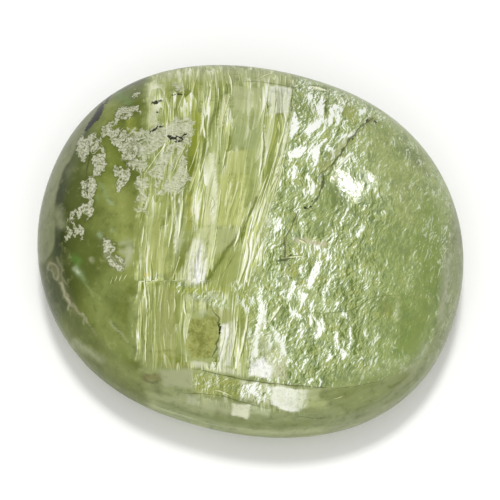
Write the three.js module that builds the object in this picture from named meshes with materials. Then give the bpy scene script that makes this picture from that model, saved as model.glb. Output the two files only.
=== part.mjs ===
// An oval cabochon cut from green opal: a polished crown over a rolled girdle, standing on a flat ground base.
// Millimetres, +Z up. The origin is the middle of the base, and the long axis of the oval lies along X.
import * as THREE from "three";
import { mergeVertices } from "three/addons/utils/BufferGeometryUtils.js";

// Driving dimensions
const LENGTH = 18.0; // long axis of the oval, at the girdle
const WIDTH = 15.9; // short axis of the oval, at the girdle
const HEIGHT = 6.6; // base to crown
const GIRDLE_HEIGHT = 1.9; // where the oval is widest, above the base
const BASE_SHARE = 0.86; // outline of the flat base, as a share of the girdle's

// The cutter's hand
const SQUARENESS = 2.15; // exponent of the oval: 2 is a true ellipse, and more fills its shoulders
const SHOULDER_TWIST = 0.012; // share by which the shoulders are drawn round from the diagonals
const CROWN_FULLNESS = 2.2; // exponent of the crown's section: more is flatter on top and steeper at the girdle
const ROLL_ANGLE = THREE.MathUtils.degToRad(65); // how far the flank rolls under before the flat base cuts it

// How finely the surface is divided
const SEGMENTS = 112;
const CROWN_RINGS = 30;
const FLANK_RINGS = 8;

// Distance from the middle to the girdle in the direction theta: a superellipse with its shoulders drawn round.
function girdleRadius(theta) {
  const alongLength = Math.abs(Math.cos(theta) / (LENGTH / 2)) ** SQUARENESS;
  const alongWidth = Math.abs(Math.sin(theta) / (WIDTH / 2)) ** SQUARENESS;
  const oval = (alongLength + alongWidth) ** (-1 / SQUARENESS);
  return oval * (1 - SHOULDER_TWIST * Math.sin(4 * theta));
}

// The half section, from the middle of the base to the crown. x is a share of the girdle's radius, y is height.
function halfSection() {
  const points = [new THREE.Vector2(0, 0)];
  for (let i = FLANK_RINGS; i > 0; i--) {
    const roll = (ROLL_ANGLE * i) / FLANK_RINGS;
    const drawnIn = (1 - Math.cos(roll)) / (1 - Math.cos(ROLL_ANGLE));
    const drop = Math.sin(roll) / Math.sin(ROLL_ANGLE);
    points.push(new THREE.Vector2(1 - (1 - BASE_SHARE) * drawnIn, GIRDLE_HEIGHT * (1 - drop)));
  }
  for (let i = 0; i < CROWN_RINGS; i++) {
    const rise = (Math.PI / 2) * (i / CROWN_RINGS);
    const share = Math.cos(rise) ** (2 / CROWN_FULLNESS);
    points.push(new THREE.Vector2(share, GIRDLE_HEIGHT + (HEIGHT - GIRDLE_HEIGHT) * Math.sin(rise)));
  }
  points.push(new THREE.Vector2(0, HEIGHT));
  return points;
}

// The section is turned into a round stone of radius 1, and each ring is then drawn out to the oval.
function cabochonGeometry() {
  const turned = new THREE.LatheGeometry(halfSection(), SEGMENTS);
  turned.deleteAttribute("normal");
  turned.deleteAttribute("uv");
  turned.rotateX(Math.PI / 2);
  const position = turned.getAttribute("position");
  for (let i = 0; i < position.count; i++) {
    const x = position.getX(i);
    const y = position.getY(i);
    const radius = girdleRadius(Math.atan2(y, x));
    position.setXY(i, x * radius, y * radius);
  }
  const closed = mergeVertices(turned, 1e-4);
  closed.computeVertexNormals();
  return closed;
}

// Translucent yellow-green opal with a glassy polish.
const polishedOpal = new THREE.MeshStandardMaterial({
  color: 0x9aa46b,
  roughness: 0.15,
  metalness: 0,
});

const opal = new THREE.Mesh(cabochonGeometry(), polishedOpal);
opal.name = "opal_cabochon";

const stone = new THREE.Group();
stone.add(opal);

export default stone;
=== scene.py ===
import bpy
import numpy as np
from mathutils import Matrix, Vector


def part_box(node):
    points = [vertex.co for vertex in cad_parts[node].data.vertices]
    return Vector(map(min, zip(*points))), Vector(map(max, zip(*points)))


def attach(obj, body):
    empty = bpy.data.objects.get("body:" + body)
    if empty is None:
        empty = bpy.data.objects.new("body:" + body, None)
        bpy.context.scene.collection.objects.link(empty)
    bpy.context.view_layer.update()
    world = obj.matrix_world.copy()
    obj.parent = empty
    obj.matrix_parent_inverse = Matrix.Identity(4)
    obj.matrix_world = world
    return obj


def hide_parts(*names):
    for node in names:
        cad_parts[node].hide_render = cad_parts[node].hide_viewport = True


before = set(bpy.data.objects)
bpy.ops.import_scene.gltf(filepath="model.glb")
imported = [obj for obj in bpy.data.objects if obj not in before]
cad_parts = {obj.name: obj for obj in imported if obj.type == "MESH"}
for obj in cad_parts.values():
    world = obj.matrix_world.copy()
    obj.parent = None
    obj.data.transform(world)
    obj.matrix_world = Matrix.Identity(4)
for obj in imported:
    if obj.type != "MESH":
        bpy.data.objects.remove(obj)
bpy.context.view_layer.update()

# Camera
# A long lens looks down on the crown, a little round from the front. The stone's markings are placed through
# the same view, as pixels of a picture 500 pixels wide, so its numbers are shared with them.
MM = 0.001
PICTURE = 500  # pixels, width and height
AZIMUTH = np.radians(22.0)
ELEVATION = np.radians(68.0)
DISTANCE = 100.0  # mm from the aim to the lens
SCALE = 24.14  # pixels per mm at the aim
SENSOR = 36.0  # mm
CLIP_START = 10.0  # mm
HEART = np.array([0.0, 0.0, 2.6])  # mm, a point inside the stone
HEART_PIXEL = (250.1, 242.0)  # where the picture shows it


def direction(azimuth, elevation):
    """The direction at an azimuth, counted from the front towards the right, and an elevation, in radians."""
    level = np.cos(elevation)
    return np.array([np.sin(azimuth) * level, -np.cos(azimuth) * level, np.sin(elevation)])


RIGHT = np.array([np.cos(AZIMUTH), np.sin(AZIMUTH), 0.0])
BACK = direction(AZIMUTH, ELEVATION)
UP = np.cross(BACK, RIGHT)
AIM = HEART - RIGHT * (HEART_PIXEL[0] - PICTURE / 2) / SCALE + UP * (HEART_PIXEL[1] - PICTURE / 2) / SCALE

lens = bpy.data.cameras.new("camera")
lens.sensor_width = SENSOR
lens.lens = SENSOR * DISTANCE * SCALE / PICTURE
lens.clip_start = CLIP_START * MM
camera = bpy.data.objects.new("camera", lens)
eye = Matrix.Translation(Vector((AIM + BACK * DISTANCE) * MM))
turn = np.stack([RIGHT, UP, BACK], axis=1)
camera.matrix_world = eye @ Matrix(turn.tolist()).to_4x4()
bpy.context.scene.collection.objects.link(camera)
bpy.context.scene.camera = camera


def picture_pixels(points):
    """The pixels, across and down, at which the camera sees points given in mm: a plain perspective view."""
    from_aim = points - AIM
    shrink = DISTANCE / (DISTANCE - from_aim @ BACK)
    across = PICTURE / 2 + from_aim @ RIGHT * shrink * SCALE
    down = PICTURE / 2 - from_aim @ UP * shrink * SCALE
    return across, down


# Floor
# A sheet of matt white card under the stone, wide enough that its far edge never shows. The tooth of card is
# too fine to show, so it is drawn coarser, as a faint bump.
FLOOR_HALF = 400.0  # mm
CARD_WHITE = "F7F7F6"
TOOTH_SIZE = 1 / 0.9  # mm
TOOTH_HEIGHT = 0.02  # mm


def linear(hex_colour):
    """An sRGB hex colour as linear red, green, blue and an alpha of 1."""
    srgb = np.array([int(hex_colour[i : i + 2], 16) / 255 for i in (0, 2, 4)])
    rgb = np.where(srgb <= 0.04045, srgb / 12.92, ((srgb + 0.055) / 1.055) ** 2.4)
    return (*rgb.tolist(), 1.0)


def add_node(material, kind, settings=None, **links):
    """Adds a node of a kind. settings are its properties. links are its inputs, by name or by number after an
    underscore, and each is a value or another node's socket."""
    node = material.node_tree.nodes.new(kind)
    for name, value in (settings or {}).items():
        setattr(node, name, value)
    for name, value in links.items():
        key = int(name[1:]) if name[0] == "_" else name.replace("_", " ")
        if isinstance(value, bpy.types.NodeSocket):
            material.node_tree.links.new(value, node.inputs[key])
        else:
            node.inputs[key].default_value = value
    return node


def new_material(name):
    """A material, and its Principled shader, which is linked to the output."""
    material = bpy.data.materials.new(name)
    material.use_nodes = True
    return material, material.node_tree.nodes["Principled BSDF"]


card, card_shader = new_material("matt white card")
card_place = add_node(card, "ShaderNodeTexCoord").outputs["Object"]
tooth = add_node(card, "ShaderNodeTexNoise", Vector=card_place, Scale=1 / (TOOTH_SIZE * MM), Detail=3.0)
card_bump = add_node(
    card, "ShaderNodeBump", Height=tooth.outputs["Fac"], Strength=0.05, Distance=TOOTH_HEIGHT * MM
)
card.node_tree.links.new(card_bump.outputs["Normal"], card_shader.inputs["Normal"])
card_shader.inputs["Base Color"].default_value = linear(CARD_WHITE)
card_shader.inputs["Roughness"].default_value = 0.9
card_shader.inputs["Specular IOR Level"].default_value = 0.1

floor_mesh = bpy.data.meshes.new("floor")
corner = FLOOR_HALF * MM
floor_corners = [(-corner, -corner, 0), (corner, -corner, 0), (corner, corner, 0), (-corner, corner, 0)]
floor_mesh.from_pydata(floor_corners, [], [(0, 1, 2, 3)])
floor_mesh.materials.append(card)
floor = bpy.data.objects.new("floor", floor_mesh)
bpy.context.scene.collection.objects.link(floor)

# Lights
# A dim room, a wide ceiling, a front lamp and a high key lamp behind, which draws the soft shadow. Two small
# lamps behind on the right give no light but are mirrored in the polish, as the bright spots on the crown.
ROOM = 0.20  # its radiance
LAMP_DISTANCE = 300.0  # mm


def add_lamp(name, azimuth, elevation, spread, radiance, stretch=1.0, mirrored=False):
    """An oval lamp in a direction given in degrees, its azimuth counted from the camera's. Its width is its
    spread in degrees, its height is its width times the stretch, and its power is pi times its radiance and
    area. A mirrored lamp shows in the polish and lights nothing, and the others do the opposite."""
    towards = Vector(direction(AZIMUTH + np.radians(azimuth), np.radians(elevation)))
    lamp = bpy.data.lights.new(name, "AREA")
    lamp.shape = "ELLIPSE"
    lamp.size = 2 * LAMP_DISTANCE * MM * np.tan(np.radians(spread) / 2)
    lamp.size_y = lamp.size * stretch
    lamp.energy = radiance * np.pi * np.pi * lamp.size / 2 * lamp.size_y / 2
    placed = bpy.data.objects.new(name, lamp)
    placed.location = towards * LAMP_DISTANCE * MM
    placed.rotation_euler = towards.to_track_quat("Z", "Y").to_euler()
    placed.visible_glossy = mirrored
    placed.visible_diffuse = not mirrored
    bpy.context.scene.collection.objects.link(placed)


add_lamp("ceiling", azimuth=0, elevation=86, spread=110, radiance=0.54)
add_lamp("front_lamp", azimuth=0, elevation=40, spread=70, radiance=1.0)
add_lamp("key_lamp", azimuth=180, elevation=75, spread=10, radiance=58)
add_lamp("spot_lamp", azimuth=139, elevation=46, spread=8.0, radiance=170, stretch=0.5, mirrored=True)
add_lamp("small_spot_lamp", azimuth=136, elevation=35, spread=2.6, radiance=80, stretch=1.5, mirrored=True)

room = bpy.data.worlds.new("room")
room.use_nodes = True
room.node_tree.nodes["Background"].inputs["Color"].default_value = (1, 1, 1, 1)
room.node_tree.nodes["Background"].inputs["Strength"].default_value = ROOM
bpy.context.scene.world = room
bpy.context.scene.view_settings.view_transform = "Standard"

# Stone
# One piece of translucent common opal, sawn from a vein, ground to an oval with a low dome on a flat base,
# and polished to a glassy skin. Its markings grew in the stone and lie under the polish. Over them, some
# light and shade is painted into its colour: lit and shaded sides of crumples, folds and fibres, the white
# shine of clear panes and windows, images of the base's edge seen through the stone, a dark outline, and
# pale reflections along the rims.
GIRDLE_SHARE = 1.9 / 6.6  # height of the girdle, as a share of the whole
BASE_SHARE = 0.86  # outline of the flat base, as a share of the girdle's
LONG_TO_SHORT = 18.0 / 15.9
SQUARENESS = 2.15  # exponent of the oval
SHOULDER_TWIST = 0.012  # share by which two of the shoulders are drawn in, and the other two out
CROWN_FULLNESS = 2.2  # exponent of the dome's section
ROLL_ANGLE = np.radians(65)  # arc of the flank's section
DOME_STEPS, FLANK_STEPS = 1500, 300  # short steps by which the section's length is measured
MEAN_RADIUS = 8.45  # mm, for lengths measured along the section
CROWN_REACH = 0.93  # share of the grid's radius that lies above the girdle
SQUARES = 296  # along each side of the grid
BASE_RINGS = (0.97, 0.7, 0.4, 0.15)  # rings of the flat base, as shares of its edge

low, high = (np.array(corner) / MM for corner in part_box("opal_cabochon"))
stone_size = high - low


def outline(theta):
    """Distance from the middle to the girdle in direction theta, for a short half axis of 1: a superellipse
    whose shoulders are drawn round by a small term in the sine of four times the angle."""
    along = np.abs(np.cos(theta) / LONG_TO_SHORT) ** SQUARENESS + np.abs(np.sin(theta)) ** SQUARENESS
    return along ** (-1 / SQUARENESS) * (1 - SHOULDER_TWIST * np.sin(4 * theta))


def section(reach):
    """Share of the girdle's radius, and height in mm, at a reach from 0 at the crown's top to 1 at the base's
    edge. The dome is a superellipse, the flank below it an arc, and both are stepped by their length."""
    rise = np.linspace(np.pi / 2, 0, DOME_STEPS)
    roll = np.linspace(0, ROLL_ANGLE, FLANK_STEPS)[1:]
    dome_share = np.cos(rise) ** (2 / CROWN_FULLNESS)
    dome_height = GIRDLE_SHARE + (1 - GIRDLE_SHARE) * np.sin(rise)
    flank_share = 1 - (1 - BASE_SHARE) * (1 - np.cos(roll)) / (1 - np.cos(ROLL_ANGLE))
    flank_height = GIRDLE_SHARE * (1 - np.sin(roll) / np.sin(ROLL_ANGLE))
    share = np.append(dome_share, flank_share)
    height = np.append(dome_height, flank_height) * stone_size[2]
    length = np.append(0, np.cumsum(np.hypot(np.diff(share) * MEAN_RADIUS, np.diff(height))))
    girdle = length[DOME_STEPS - 1]
    above = length / girdle * CROWN_REACH
    below = CROWN_REACH + (length - girdle) / (length[-1] - girdle) * (1 - CROWN_REACH)
    reached = np.where(length <= girdle, above, below)
    return np.interp(reach, reached, share), np.interp(reach, reached, height)


def stone_grid():
    """Points of the dome and flank in mm. A square grid is bent to a disc, each point's two coordinates
    shortened by the other's square. Its radius then runs along the section and is drawn out to the oval."""
    side = np.linspace(-1, 1, SQUARES + 1)
    s, t = np.meshgrid(side, side, indexing="ij")
    x = s * np.sqrt(1 - t**2 / 2)
    y = t * np.sqrt(1 - s**2 / 2)
    theta = np.arctan2(y, x)
    share, height = section(np.clip(np.hypot(x, y), 0, 1))
    radius = share * outline(theta)
    points = np.stack([radius * np.cos(theta), radius * np.sin(theta), height], axis=-1)
    points[..., :2] *= stone_size[:2] / np.ptp(points[..., :2], axis=(0, 1))
    return points


def stone_faces():
    """Squares of the grid, then the base: bands from its border inwards, closed by a fan at the middle."""
    index = np.arange((SQUARES + 1) ** 2).reshape(SQUARES + 1, SQUARES + 1)
    around = [index[:-1, :-1], index[1:, :-1], index[1:, 1:], index[:-1, 1:]]
    squares = np.stack(around, axis=-1).reshape(-1, 4)
    border = np.concatenate([index[:-1, 0], index[-1, :-1], index[:0:-1, -1], index[0, :0:-1]])
    count = len(border)
    rings = [border] + [index.size + i * count + np.arange(count) for i in range(len(BASE_RINGS))]
    bands = [np.stack([b, np.roll(b, -1), np.roll(a, -1), a], axis=-1) for a, b in zip(rings, rings[1:])]
    middle = np.full(count, index.size + len(BASE_RINGS) * count)
    fan = np.stack([np.roll(rings[-1], -1), rings[-1], middle], axis=-1)
    return border, squares, np.concatenate(bands), fan


dome_grid = stone_grid()
slope_s, slope_t = np.gradient(dome_grid, axis=(0, 1))
outwards = np.cross(slope_s, slope_t)
outwards /= np.linalg.norm(outwards, axis=-1, keepdims=True)
facing = (outwards @ BACK).ravel()  # 1 where the surface looks at the lens, 0 at the outline
dome = dome_grid.reshape(-1, 3)
border, squares, bands, fan = stone_faces()
base_rings = np.concatenate([dome[border] * (ring, ring, 1) for ring in BASE_RINGS])
points = np.concatenate([dome, base_rings, [[0.0, 0.0, 0.0]]])
facing = np.append(facing, np.full(len(points) - len(facing), -1.0))
across, down = picture_pixels(points)

# Marks are placed by pixels that waver a little, so that no edge of theirs is quite straight
CURVE_STEPS = 6  # straight steps between two points of a path
REACH = 12.0  # pixels around a mark within which it is felt
BLUNTNESS = 0.15  # width of a mark's ends, as a share of its middle's
wavering_across = across + 0.6 * np.sin(down * 0.33 + across * 0.17)
wavering_across += 0.25 * np.sin(down * 0.81 - across * 0.33 + 2)
wavering_down = down + 0.6 * np.sin(across * 0.29 - down * 0.21 + 1)
wavering_down += 0.25 * np.sin(across * 0.87 + down * 0.37)


def smooth(x):
    """0 below 0, 1 above 1, and an even S between."""
    x = np.clip(x, 0, 1)
    return x * x * (3 - 2 * x)


def curved(path):
    """A smooth line through a path's points: between two of them it is a cubic, whose slope at each point is
    half the step between that point's neighbours."""
    path = np.array(path, float)
    padded = np.concatenate([2 * path[:1] - path[1:2], path, 2 * path[-1:] - path[-2:-1]])
    t = np.linspace(0, 1, CURVE_STEPS, endpoint=False)[:, None, None]
    p0, p1, p2, p3 = padded[:-3], padded[1:-2], padded[2:-1], padded[3:]
    cubic = p1 + t * (p2 - p0) / 2
    cubic += t**2 * (p0 - 2.5 * p1 + 2 * p2 - p3 / 2)
    cubic += t**3 * (1.5 * (p1 - p2) + (p3 - p0) / 2)
    return np.concatenate([cubic.transpose(1, 0, 2).reshape(-1, 2), path[-1:]])


def nearest(marks, waver=0.0):
    """For marks given as (half width, point, point, ...) in pixels: each vertex's distance to the nearest
    mark in that mark's half widths, signed by its side and unsigned, the depth inside a mark in pixels, and
    the nearest mark's half width. Marks taper to their ends as a sine, and waver by a share."""
    seen_across = across + waver * (wavering_across - across)
    seen_down = down + waver * (wavering_down - down)
    side = np.zeros(across.shape)
    width = np.zeros(across.shape)
    least = np.full(across.shape, 99.0)
    depth = np.full(across.shape, -99.0)
    for half, *path in marks:
        path = curved(path)
        lowest = path.min(0) - (half + REACH)
        highest = path.max(0) + (half + REACH)
        inside = (across > lowest[0]) & (across < highest[0]) & (down > lowest[1]) & (down < highest[1])
        here = np.flatnonzero(inside)
        steps = np.diff(path, axis=0)
        lengths = np.hypot(*steps.T)
        start = np.append(0, np.cumsum(lengths))
        for (x, y), (dx, dy), length, before in zip(path, steps, lengths, start):
            from_x = seen_across[here] - x
            from_y = seen_down[here] - y
            part = np.clip((from_x * dx + from_y * dy) / length**2, 0, 1)
            gap = np.hypot(from_x - part * dx, from_y - part * dy)
            along = np.clip((before + part * length) / start[-1], 0.001, 0.999)
            taper = half * (BLUNTNESS + (1 - BLUNTNESS) * np.sin(np.pi * along) ** 0.6)
            closer = gap / taper < least[here]
            near = here[closer]
            side[near] = (np.sign(from_x * dy - from_y * dx) * gap / taper)[closer]
            least[near] = (gap / taper)[closer]
            width[near] = half
            depth[here] = np.maximum(depth[here], taper - gap)
    return side, least, depth, width


def blot(half, soft, *path):
    """Weight of a soft-edged blot: 1 within half - soft pixels of its path, and 0 beyond half + soft."""
    path = curved(path)
    gap = np.full(across.shape, np.inf)
    for (x, y), (dx, dy) in zip(path, np.diff(path, axis=0)):
        from_x = wavering_across - x
        from_y = wavering_down - y
        part = np.clip((from_x * dx + from_y * dy) / (dx * dx + dy * dy), 0, 1)
        gap = np.minimum(gap, np.hypot(from_x - part * dx, from_y - part * dy))
    return smooth((half + soft - gap) / (2 * soft))


def pane(soft, *corners):
    """Weight of a flat-sided pane: 1 inside its corners, given clockwise in the picture, and 0 outside."""
    corners = np.array(corners, float)
    depth = np.full(across.shape, np.inf)
    for (x, y), (dx, dy) in zip(corners, np.roll(corners, -1, axis=0) - corners):
        inwards = (wavering_down - y) * dx - (wavering_across - x) * dy
        depth = np.minimum(depth, inwards / np.hypot(dx, dy))
    return smooth(depth / soft + 0.5)


def sheet(half, *path):
    """Weight of a folded sheet of silk: 1 along its crisp edge, fading to nothing across its width. The edge
    is on the right of its path in the picture where that runs down, and on the left where it runs up."""
    side, least = nearest([(half, *path)], waver=0.5)[:2]
    return (0.5 + 0.5 * side.clip(-1, 1)) * smooth((1.15 - least) / 0.3)


def edge_across(*path):
    """Pixels by which each vertex lies to the right of a line given by points running down the picture."""
    path = curved(path)
    return across - np.interp(down, path[:, 1], path[:, 0])


def edge_down(*path):
    """Pixels by which each vertex lies below a line given by points running across the picture."""
    path = curved(path)
    return down - np.interp(across, path[:, 0], path[:, 1])


# Where the markings run, in the picture's pixels. Silk is a band of fibres down the middle, foil is the
# crumpled right half, and the skirt is a strip along the lower rim, below a level line: a painted image of
# the base's edge seen through the stone. On the left the body is clear and dark, with a paler band along the
# rim, partly a painted reflection of the white surroundings, and ragged patches of matt skin.
SILK_START = ((150, 60), (147, 95), (143, 150), (140, 200), (137, 250), (137, 300), (137, 350), (150, 400))
FOIL_START = (
    (296, 60), (293, 95), (288, 130), (281, 165), (272, 205),
    (266, 240), (254, 280), (250, 310), (249, 340), (249, 384),
)
SKIRT_LINE = (
    (60, 325), (110, 352), (150, 366), (192, 368), (252, 378),
    (288, 384), (333, 387), (379, 381), (421, 363),
)
BAND_EDGE = (
    (104, 92), (95, 115), (86, 131), (75, 150), (70, 160),
    (64, 169), (59, 184), (55, 204), (54, 245), (45, 262),
)
RIM_EDGE = ((452, 220), (448, 240), (441, 269), (437, 322), (421, 362), (380, 398), (330, 422))
RIM_LINE = ((150, 80), (190, 80), (240, 83), (290, 88), (337, 94))
SKIRT_START = 138  # pixels across
SKIRT_SHARP = 200  # pixels across, from which its upper edge is sharper
RIM_SHARP = 250  # pixels down, from which the right rim's edge is sharper
BAND_TOP, BAND_END, BAND_PALE = 98, 266, 150  # pixels down, to its two ends and to its paler part
wander = 1.6 * np.sin(down * 0.21 + 1) + 1.2 * np.sin(down * 0.53) + 0.8 * np.sin(down * 1.1 + across * 0.2)

# Weights of the regions, each with an edge a few pixels soft
in_foil = smooth((edge_across(*FOIL_START) + wander) / 10 + 0.5)
in_silk = smooth((edge_across(*SILK_START) + wander) / 10 + 0.5) * (1 - in_foil)
skirt_softness = 5 + 9 * smooth((SKIRT_SHARP - across) / 30)
above_skirt = 1 - smooth(edge_down(*SKIRT_LINE) / skirt_softness + 0.5)
below_skirt = (1 - above_skirt) * smooth((across - SKIRT_START) / 26)
rim_softness = 8 - 5 * smooth((down - RIM_SHARP) / 30)
in_rim = smooth(edge_across(*RIM_EDGE) / rim_softness + 0.5)
left_of_band_edge = 1 - smooth(edge_across(*BAND_EDGE) / 2.5 + 0.5)
in_reflection_band = left_of_band_edge * smooth((down - BAND_TOP) / 14) * smooth((BAND_END - down) / 8)
above_rim_line = smooth((1 - edge_down(*RIM_LINE)) / 3)
# A painted dark outline: shade where the surface turns away from the lens
painted_outline_shade = smooth((0.13 - facing) / 0.10) * smooth((facing + 0.08) / 0.12)
hidden_flank = smooth((-0.1 - facing) / 0.3)

# The stone's colours, in sRGB as the picture shows them
OLIVE_BLACK = "303A12"
DARK_OLIVE = "515C27"
OLIVE = "69742F"
STRAW = "C3CA88"
LAMPLIGHT = 1.15  # the light that the lamps give, over what shows a colour as it is


def paint(hex_colour):
    """The stone's own colour, in linear red, green, blue and alpha, for one seen under the lamps."""
    return tuple(channel / LAMPLIGHT for channel in linear(hex_colour)[:3]) + (1.0,)


body = np.array(paint(OLIVE)[:3]) * np.ones((len(points), 1))
calm = np.zeros(len(points))


def glaze(hex_colour, weight, calming=0.0):
    """Lays a colour over the body's by a weight at each vertex, and calms the grain there by a share."""
    body[:] += (np.array(paint(hex_colour)[:3]) - body) * weight[:, None]
    calm[:] = np.maximum(calm, calming * weight)


def glaze_each(shape, rows, calming=0.0, within=1.0):
    """Lays one glaze for each row, which gives its colour, its strength and then what its shape asks for."""
    for hex_colour, strength, *form in rows:
        glaze(hex_colour, strength * within * shape(*form), calming)


# The body and its flecks: colour, strength, half width, softness, path
GLAZES = (
    # the dark clear body on the left, deepest behind the pale band
    ("3A4416", 0.88, 20, 14, (66, 150), (64, 235), (60, 290)),
    ("616C30", 0.8, 18, 14, (96, 200), (90, 250), (96, 285)),
    (OLIVE_BLACK, 0.95, 5, 4, (68, 170), (60, 200), (59, 252)),
    ("2E3426", 0.85, 3.4, 3.4, (83, 134), (94, 116), (107, 96)),
    (DARK_OLIVE, 0.7, 4, 5, (112, 98), (124, 88), (140, 80)),
    (OLIVE_BLACK, 0.6, 7, 6, (56, 288), (64, 306), (80, 326)),
    ("5F6929", 0.85, 7, 5, (72, 316), (86, 330), (100, 344), (114, 353)),
    ("A5AC80", 0.85, 3.5, 4, (76, 343), (88, 351), (102, 360)),
    ("8A9356", 0.8, 7, 6, (112, 366), (134, 378), (160, 392)),
    ("747E40", 0.7, 2, 3, (104, 364), (124, 376), (146, 388)),
    ("5F6B2C", 0.8, 5, 5, (70, 316), (80, 325), (92, 338)),
    ("4B5524", 0.8, 4, 4, (44, 272), (48, 296), (56, 318)),
    ("5C6730", 0.7, 10, 8, (84, 158), (78, 180), (76, 200)),
    ("8E983F", 0.6, 10, 8, (110, 108), (106, 125)),
    ("7E8A3C", 0.7, 9, 8, (106, 150), (112, 178), (100, 190)),
    ("99A24A", 0.85, 5, 3, (131, 122), (132, 128)),
    ("9AA359", 0.8, 14, 13, (116, 196), (122, 232), (130, 266)),
    ("8A9650", 0.6, 8, 10, (96, 226), (108, 226)),
    ("879351", 0.85, 15, 13, (112, 285), (102, 308), (120, 345)),
    ("8F9A5C", 0.8, 6, 5, (133, 300), (135, 330), (134, 352)),
    ("69752F", 0.6, 2, 2, (130, 288), (137, 290), (134, 294), (128, 292)),
    ("69752F", 0.5, 1.5, 2.5, (128, 298), (126, 310), (124, 321)),
    ("5E8A3A", 0.6, 3, 3.5, (74, 258), (79, 262)),
    ("A0B782", 0.6, 3, 4, (76, 268), (80, 274)),
    ("A0B782", 0.5, 1.6, 3, (80, 274), (86, 282)),
    ("CFDCBA", 0.8, 1.4, 2, (75, 268), (79, 272)),
    ("98AC6E", 0.6, 1, 1.5, (87, 285), (90, 290), (93, 296)),
    ("D2D4A4", 0.8, 1.5, 2, (91, 258), (93, 261)),
    ("B5C9A0", 0.8, 1.6, 2.4, (99, 234), (101, 236)),
    ("B5C9A0", 0.5, 1.5, 2, (112, 229), (113, 230)),
    ("93AB7C", 0.45, 2, 4, (101, 184), (106, 194), (111, 203)),
    ("B5C9A0", 0.6, 1, 1.8, (108, 201), (111, 204)),
    ("93AB7C", 0.4, 1.2, 2, (96, 196), (98, 199)),
    ("6E8A48", 0.6, 5, 5, (120, 95), (127, 101)),
    ("B5B88C", 0.6, 1, 1.5, (110, 322), (118, 331)),
    ("B5B88C", 0.5, 1, 1.5, (120, 332), (128, 341)),
    ("5F6B44", 0.6, 1, 1.5, (113, 322), (121, 331)),
    ("C9CFA4", 0.6, 1.4, 2, (146, 259), (149, 264)),
    ("AEB38A", 0.8, 2.6, 3.4, (122, 243), (129, 243), (128, 252), (122, 252)),
    ("A4A97E", 0.6, 5, 6, (57, 212), (61, 224)),
    ("B6BA96", 0.8, 3.2, 3.6, (106, 242), (109, 256), (118, 266), (127, 262), (129, 250)),
    ("7E7E50", 0.6, 3, 4, (50, 262), (58, 276), (66, 296), (78, 314)),
    ("B4B18E", 0.6, 0.7, 1.5, (48, 270), (50, 263), (55, 264), (58, 271), (58, 280), (54, 277), (51, 270)),
    ("AEAA84", 0.55, 0.6, 1.5, (57, 258), (61, 268), (62, 276), (66, 283)),
    ("C0BE9C", 0.75, 0.8, 1.4, (60, 283), (64, 290), (65, 296), (69, 302), (68, 309)),
    ("B8B592", 0.7, 0.6, 1.2, (62, 282), (62, 290), (68, 295), (67, 302), (73, 307)),
    ("B8B592", 0.65, 0.6, 1.2, (72, 304), (76, 308), (79, 314), (84, 318), (84, 324)),
    ("CDCAA6", 0.6, 0.6, 1.2, (82, 313), (86, 318), (88, 323)),
    ("A8A27C", 0.5, 0.5, 1.4, (86, 320), (92, 329), (97, 336)),
    ("59622C", 0.6, 0.9, 2.2, (53, 284), (60, 300), (68, 312), (80, 324)),
)
glaze_each(blot, GLAZES)

# Ground tints of the silk and the foil
glaze("A2AC6E", in_silk)
glaze("A2AF74", in_foil)

# Silk, tints: colour, strength, half width, softness, path
SILK_GLAZES = (
    ("A6AD66", 0.8, 16, 14, (158, 205), (160, 260)),
    ("A0A766", 0.9, 16, 8, (160, 296), (162, 350)),
    ("A3AB5C", 0.7, 8, 6, (160, 78), (195, 80), (225, 76)),
    ("9CA552", 0.8, 3, 2.5, (168, 88), (166, 106), (164, 126)),
    ("9AA33A", 0.9, 5, 4, (197, 116), (195, 152)),
    ("A3AB42", 0.8, 2, 2, (195, 84), (195, 112)),
    ("A5AE5E", 0.9, 6, 4, (274, 122), (272, 146)),
    ("9EA966", 0.9, 5, 3, (253, 154), (250, 186)),
    ("8D9850", 0.9, 2.6, 2, (275, 154), (264, 182), (256, 200)),
    ("9AA05A", 0.7, 2, 2, (137, 224), (137, 255)),
    ("848C74", 0.9, 1.2, 1.4, (152, 278), (160, 276), (169, 281)),
    ("7E873F", 0.8, 1.4, 2, (150, 284), (164, 284)),
    ("A3AC50", 0.9, 4, 3, (174, 289), (188, 292), (204, 290)),
    ("9DA656", 0.9, 4, 3, (208, 289), (236, 289)),
    ("9FA95A", 0.9, 9, 6, (238, 292), (246, 318)),
    ("BBBFA8", 0.8, 2, 2.5, (186, 284), (198, 283)),
    ("C4C7A4", 0.7, 3, 3, (187, 297), (197, 297)),
    ("A0A567", 0.9, 6, 4, (214, 314), (230, 316)),
    ("BFC2A2", 0.8, 2.4, 3, (202, 312), (206, 300), (218, 296)),
    ("B3A968", 0.6, 1.8, 2.6, (166, 366), (182, 365), (191, 366)),
    ("8D9546", 0.7, 1.5, 2, (160, 358), (184, 359)),
    ("D9B94A", 0.8, 1.2, 1.8, (146, 274), (150, 275)),
    ("CDD1A2", 0.7, 0.2, 0.9, (136, 216), (184, 217), (201, 223), (236, 229), (250, 233), (266, 235)),
)
glaze_each(blot, SILK_GLAZES, calming=0.7)

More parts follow.
